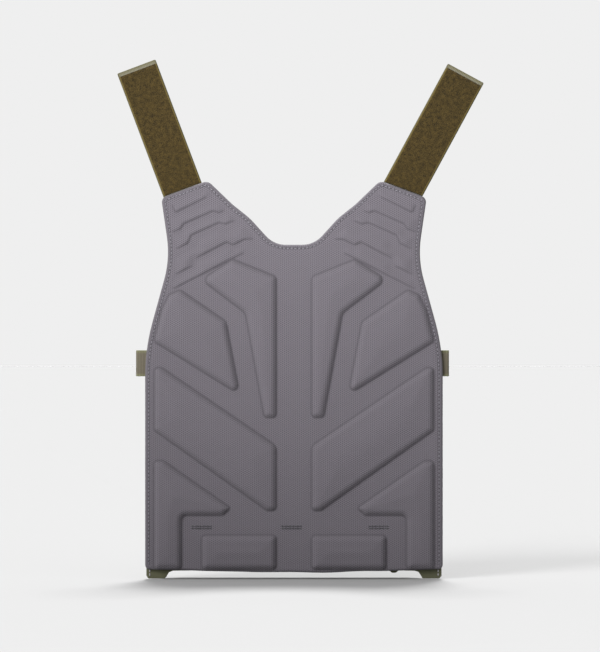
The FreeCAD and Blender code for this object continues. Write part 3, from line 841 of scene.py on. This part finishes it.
for side, sign in SIDES.items():
    place = strap_place(side)
    skew = sign * (abs(STRAP_LEANS[side]) - SHOULDER_SLOPE)
    webbing_length = STRAP_LENGTH + 48 * MM
    centre = (0.0, STRAP_LENGTH - webbing_length / 2)
    webbing = slab(
        f"strap_webbing_{side}_cloth", rectangle(STRAP_WIDTH, webbing_length, centre, 1 * MM), 1.2 * MM,
        level(15.8 * MM), level(14.25 * MM), place, edge=0.7 * MM,
    )
    webbing.data.materials.append(STRAP)
    strap_bend(webbing, side)
    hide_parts(f"strap_webbing_{side}", f"strap_anchor_{side}")
    tape_length = STRAP_LENGTH - 4 * MM - 1.2 * MM
    tape_loop = rectangle(LOOP_WIDTH, tape_length, (0.0, 1.2 * MM + tape_length / 2), 0.8 * MM)

    def tape_place(flat, place=place):
        return place(np.column_stack([flat[:, :2], -flat[:, 2]]))

    tape = slab(
        f"strap_loop_{side}_pile", rooted(tape_loop, skew, 0.6 * MM), 0.9 * MM,
        pile_height, level(-14.1 * MM), tape_place, edge=0.5 * MM,
    )
    tape.data.materials.append(LOOP)
    strap_bend(tape, side)
    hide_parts(f"strap_loop_tape_{side}")

boxes = []
for side in SIDES:
    place = strap_place(side)
    corners = [(-16, -44), (16, -44), (16, -8), (-16, -8), (-16, -44), (16, -8), (16, -44), (-16, -8)]
    for one, other in zip(corners, corners[1:]):
        ends = np.array([[*one, 15.9], [*other, 15.9]]) * MM
        boxes.append((place(ends), np.tile([0.0, 1.0, 0.0], (2, 1)), 3.4 * MM))
box_threads = threads("strap_box_threads", boxes, 2.7 * MM, 0.3 * MM, 0.2 * MM)
finish_piece(box_threads, "panel", OLIVE_THREAD, ["strap_box_stitching"])


# ---------------------------------------------------------------- folded pieces: side tabs and flap


def folded(path):
    """Lays (along, height) on a bent path of (first, second) points. Returns the path's length and a
    function that gives the two path coordinates of a point at this run along the path and this height off
    it."""
    path = np.array(path)
    run = np.concatenate([[0], np.cumsum(np.linalg.norm(np.diff(path, axis=0), axis=1))])
    tangent = np.gradient(path, run, axis=0)
    tangent /= np.linalg.norm(tangent, axis=1)[:, None]
    normal = np.column_stack([-tangent[:, 1], tangent[:, 0]])

    def at(along, height):
        on_path = [np.interp(along, run, path[:, k]) for k in (0, 1)]
        off_path = [height * np.interp(along, run, normal[:, k]) for k in (0, 1)]
        return on_path[0] + off_path[0], on_path[1] + off_path[1]

    return run[-1], at


def arc(centre, radius, start, end, steps=14):
    """Points on an arc, with angles in degrees."""
    angles = np.radians(np.linspace(start, end, steps))
    return [(centre[0] + radius * math.cos(a), centre[1] + radius * math.sin(a)) for a in angles]


TAB_PLY = 1.2 * MM
for side, sign in SIDES.items():
    tip = max(abs(low(f"side_tab_{side}").x), abs(high(f"side_tab_{side}").x))
    top, bottom = high(f"side_tab_{side}").z, low(f"side_tab_{side}").z
    bend = 1.5 * MM
    lane = [(134 * MM, 14.9 * MM), (140 * MM, 14.9 * MM), (145.6 * MM, 14.9 * MM)]
    back_lane = [(145.6 * MM, 16.3 * MM), (140 * MM, 16.2 * MM), (134 * MM, 16.2 * MM)]
    turn = arc((tip - bend - 0.6 * MM, 15.95 * MM), bend, -90, 90)
    length, at = folded(lane + turn + back_lane)
    loop = rectangle(top - bottom, length, (0.0, length / 2), 0.8 * MM)

    def tab_place(flat, sign=sign, at=at, middle=(top + bottom) / 2):
        x, y = at(flat[:, 1], flat[:, 2])
        return np.column_stack([sign * x, y, middle + flat[:, 0]])

    tab = slab(
        f"side_tab_{side}_webbing", loop, 1.2 * MM, level(TAB_PLY / 2), level(-TAB_PLY / 2), tab_place,
        edge=0.5 * MM,
    )
    tab.data.materials.append(TAB)
    bend_start, bend_end = [(sign * x * MM, 15.6 * MM, 210 * MM) for x in (144.8, 147.2)]
    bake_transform(tab)
    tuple(bend_start)
    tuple(bend_end)
    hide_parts(f"side_tab_{side}", f"side_tab_anchor_{side}")

FLAP_WIDTH = 228 * MM
flap_path = [(13.8 * MM, 14.0 * MM), (14.4 * MM, 10.4 * MM)]
flap_path += arc((17.2 * MM, 11.6 * MM), 2.8 * MM, 205, 270, 6) + [(24 * MM, 8.8 * MM)]
flap_path += arc((31.3 * MM, 11.8 * MM), 3 * MM, -90, 0) + [(34.3 * MM, 30 * MM), (34.3 * MM, 56.2 * MM)]
flap_length, flap_at = folded(flap_path)


def flap_place(flat):
    """Lays the flap under the mouth and up the back."""
    y, z = flap_at(flat[:, 1], -flat[:, 2])
    return np.column_stack([flat[:, 0], y, z])


def flap_face(side_height):
    """One face of the flap cloth, with a turned hem near its edge."""
    def height(points, gap):
        hem = 0.25 * MM * smooth(gap, 9 * MM, 7.5 * MM)
        return np.full(len(points), side_height) + math.copysign(1, side_height) * hem
    return height


flap = slab(
    "bottom_flap_cloth", rectangle(FLAP_WIDTH, flap_length, (0.0, flap_length / 2), 3 * MM), 2.4 * MM,
    flap_face(0.5 * MM), flap_face(-0.5 * MM), flap_place, edge=0.5 * MM,
)
flap.data.materials.append(SHELL)
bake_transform(flap)
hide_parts("bottom_flap")

flap_lines = []
for inset in (2 * MM, 8 * MM):
    corners = [(-114 * MM + inset, 26 * MM), (-114 * MM + inset, flap_length - inset),
               (114 * MM - inset, flap_length - inset), (114 * MM - inset, 26 * MM)]
    for one, other in zip(corners, corners[1:]):
        ends = np.array([[*one, -0.75 * MM], [*other, -0.75 * MM]])
        flap_lines.append((flap_place(ends), np.tile([0.0, 1.0, 0.0], (2, 1)), 4 * MM))
flap_threads = threads("flap_seam", flap_lines, 3.1 * MM, 0.3 * MM, 0.2 * MM)
finish_piece(flap_threads, "flap", OLIVE_THREAD)


def flat_tape(node, body, paint, radius=1.0 * MM, pitch=3 * MM):
    """A rectangular patch of tape over its CAD node."""
    first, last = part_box(node)
    middle = ((first.x + last.x) / 2, (first.z + last.z) / 2)
    shape = rectangle(last.x - first.x, last.z - first.z, middle, radius)

    def fuzzy(points, gap):
        return last.y + 0.15 * MM * undulation(points, 3 * MM, 31) * smooth(gap, 0.5 * MM, 2 * MM)

    made = slab(f"{node}_pile", shape, pitch, fuzzy, level(first.y), facing_out, edge=0.3 * MM)
    finish_piece(made, body, paint, [node])


flat_tape("flap_hook_tape", "flap", HOOK)
flat_tape("shell_loop_tape", "panel", PATCH)
flat_tape("patch_loop_field", "panel", PATCH, pitch=1.5 * MM)

tab_loop = face_outline("flap_pull_tab", high("flap_pull_tab").y)
pull_tab = slab(
    "flap_pull_tab_webbing", tab_loop, 0.8 * MM, level(30 * MM), level(28.4 * MM), facing_out, edge=0.5 * MM,
)
finish_piece(pull_tab, "flap", WEBBING, ["flap_pull_tab"])

# ---------------------------------------------------------------- webbing ladder

CHANNEL_PITCH = 38.1 * MM
tack_runs = []
for row in range(1, 5):
    node = f"webbing_row_{row}"
    first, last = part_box(node)
    width, height = last.x - first.x, last.z - first.z
    middle = ((first.x + last.x) / 2, (first.z + last.z) / 2)
    channels = round(width / CHANNEL_PITCH)
    reach = channels * CHANNEL_PITCH / 2

    def bulge(points, gap, reach=reach, base=first.y):
        wave = np.sin(math.pi * np.clip(points[:, 0] + reach, 0, 2 * reach) / CHANNEL_PITCH) ** 2
        return base + 0.9 * MM * wave

    ladder = slab(
        f"{node}_ribbon", rectangle(width, height, middle, 0.6 * MM), 2.2 * MM,
        lambda points, gap, bulge=bulge: bulge(points, gap) + 1.4 * MM, bulge, facing_out, edge=0.6 * MM,
    )
    finish_piece(ladder, "panel", WEBBING, [node])
    for k in range(channels + 1):
        x = -reach + k * CHANNEL_PITCH
        line = zigzag((x, last.y + 0.1 * MM, middle[1]), (1, 0, 0), (0, 0, 1), 2.2 * MM, height - 3 * MM, 26)
        tack_runs.append(line)
ladder_tacks = cords("webbing_bartack_threads", tack_runs, 0.28 * MM)
finish_piece(ladder_tacks, "panel", OLIVE_THREAD, ["webbing_bartacks"])

# ---------------------------------------------------------------- floor, light and camera

BACKGROUND = 0.863
FLOOR_SHADE = 0.274


def floor():
    """A plain, wide floor just under the ears."""
    mesh = bpy.data.meshes.new("floor")
    corners = [(-1, -1), (1, -1), (1, 1), (-1, 1)]
    mesh.from_pydata([(x * 40, y * 40, -0.5 * MM) for x, y in corners], [], [(0, 1, 2, 3)])
    made = bpy.data.objects.new("floor", mesh)
    bpy.context.scene.collection.objects.link(made)
    material = bpy.data.materials.new("floor")
    material.use_nodes = True
    shader = material.node_tree.nodes["Principled BSDF"]
    shader.inputs["Base Color"].default_value = (FLOOR_SHADE, FLOOR_SHADE, FLOOR_SHADE, 1)
    shader.inputs["Roughness"].default_value = 1.0
    shader.inputs["Specular IOR Level"].default_value = 0.0
    mesh.materials.append(material)


def aimed(name, kind, place, power, target=(0.0, 0.0, 0.2)):
    """A lamp that faces a point."""
    data = bpy.data.lights.new(name, kind)
    data.energy = power
    made = bpy.data.objects.new(name, data)
    bpy.context.scene.collection.objects.link(made)
    made.location = place
    made.rotation_euler = (Vector(target) - Vector(place)).to_track_quat("-Z", "Y").to_euler()
    return data


def camera():
    """A long lens straight in front of the panel."""
    data = bpy.data.cameras.new("camera")
    data.lens = 180
    data.sensor_width = 36
    data.clip_end = 20
    made = bpy.data.objects.new("camera", data)
    bpy.context.scene.collection.objects.link(made)
    made.location = (0.0059, -3.168, 0.2464)
    made.rotation_euler = (math.radians(90), 0, 0)
    bpy.context.scene.camera = made


floor()
world = bpy.data.worlds.new("studio")
world.use_nodes = True
world.node_tree.nodes["Background"].inputs[0].default_value = (1, 1, 1, 1)
world.node_tree.nodes["Background"].inputs[1].default_value = BACKGROUND
bpy.context.scene.world = world
aimed("key", "SUN", (-1.5, -1.5, 1.35), 3.2).angle = math.radians(25)
aimed("overhead", "SUN", (0.05, 0.42, 1.4), 6.0).angle = math.radians(16)
crown = aimed("crown", "AREA", (-0.35, -1.3, 0.35), 2.5, (0.0, 0.0, 0.5))
crown.size = 0.3
crown.spread = math.radians(45)
camera()
bpy.context.scene.view_settings.view_transform = "Standard"
